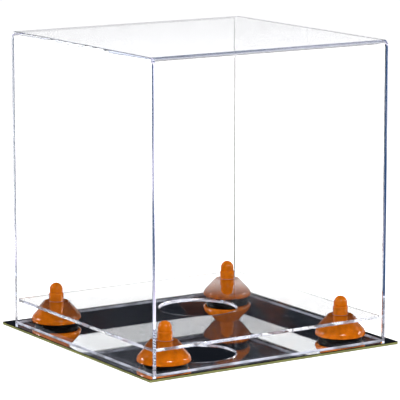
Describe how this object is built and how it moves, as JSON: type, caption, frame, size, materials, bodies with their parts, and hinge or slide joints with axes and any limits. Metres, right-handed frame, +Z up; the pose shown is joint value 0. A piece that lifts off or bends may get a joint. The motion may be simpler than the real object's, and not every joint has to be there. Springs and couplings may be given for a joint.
{
  "type": "ball display case",
  "caption": "Clear five-sided cover that lifts off a mirrored base, with a clear seat plate for a ball held up on bell-shaped orange risers.",
  "frame": {"origin": "centre of the underside of the base, at the bottom centre of the whole case", "axes": "+X right along the front of the case, +Y towards its back, +Z up"},
  "size_m": [0.28, 0.28, 0.294],
  "materials": {
    "clear_acrylic": "clear polished acrylic sheet",
    "base_edge": "polished sheet with olive edges",
    "mirror": "silvered, mirror bright",
    "orange_plastic": "high gloss orange moulding",
    "foot_rubber": "smooth black rubber",
    "screw_steel": "zinc plated steel"
  },
  "bodies": {
    "base": {"base_sheet": "base_edge", "mirror_sheet": "mirror", "foot_front_left": "foot_rubber", "foot_front_right": "foot_rubber", "foot_back_left": "foot_rubber", "foot_back_right": "foot_rubber", "bell_front_left": "orange_plastic", "bell_front_right": "orange_plastic", "bell_back_left": "orange_plastic", "bell_back_right": "orange_plastic", "peg_front_left": "orange_plastic", "peg_front_right": "orange_plastic", "peg_back_left": "orange_plastic", "peg_back_right": "orange_plastic", "riser_screws": "screw_steel"},
    "plate": {"riser_plate": "clear_acrylic"},
    "cover": {"cover_wrap": "clear_acrylic", "cover_panel_left": "clear_acrylic", "cover_panel_right": "clear_acrylic"}
  },
  "joints": [
    {"name": "cover_lift", "type": "slide", "parent": "base", "child": "cover", "axis": [0, 0, 1], "range_m": [0, 0.3]},
    {"name": "plate_lift", "type": "slide", "parent": "base", "child": "plate", "axis": [0, 0, 1], "range_m": [0, 0.06]}
  ]
}
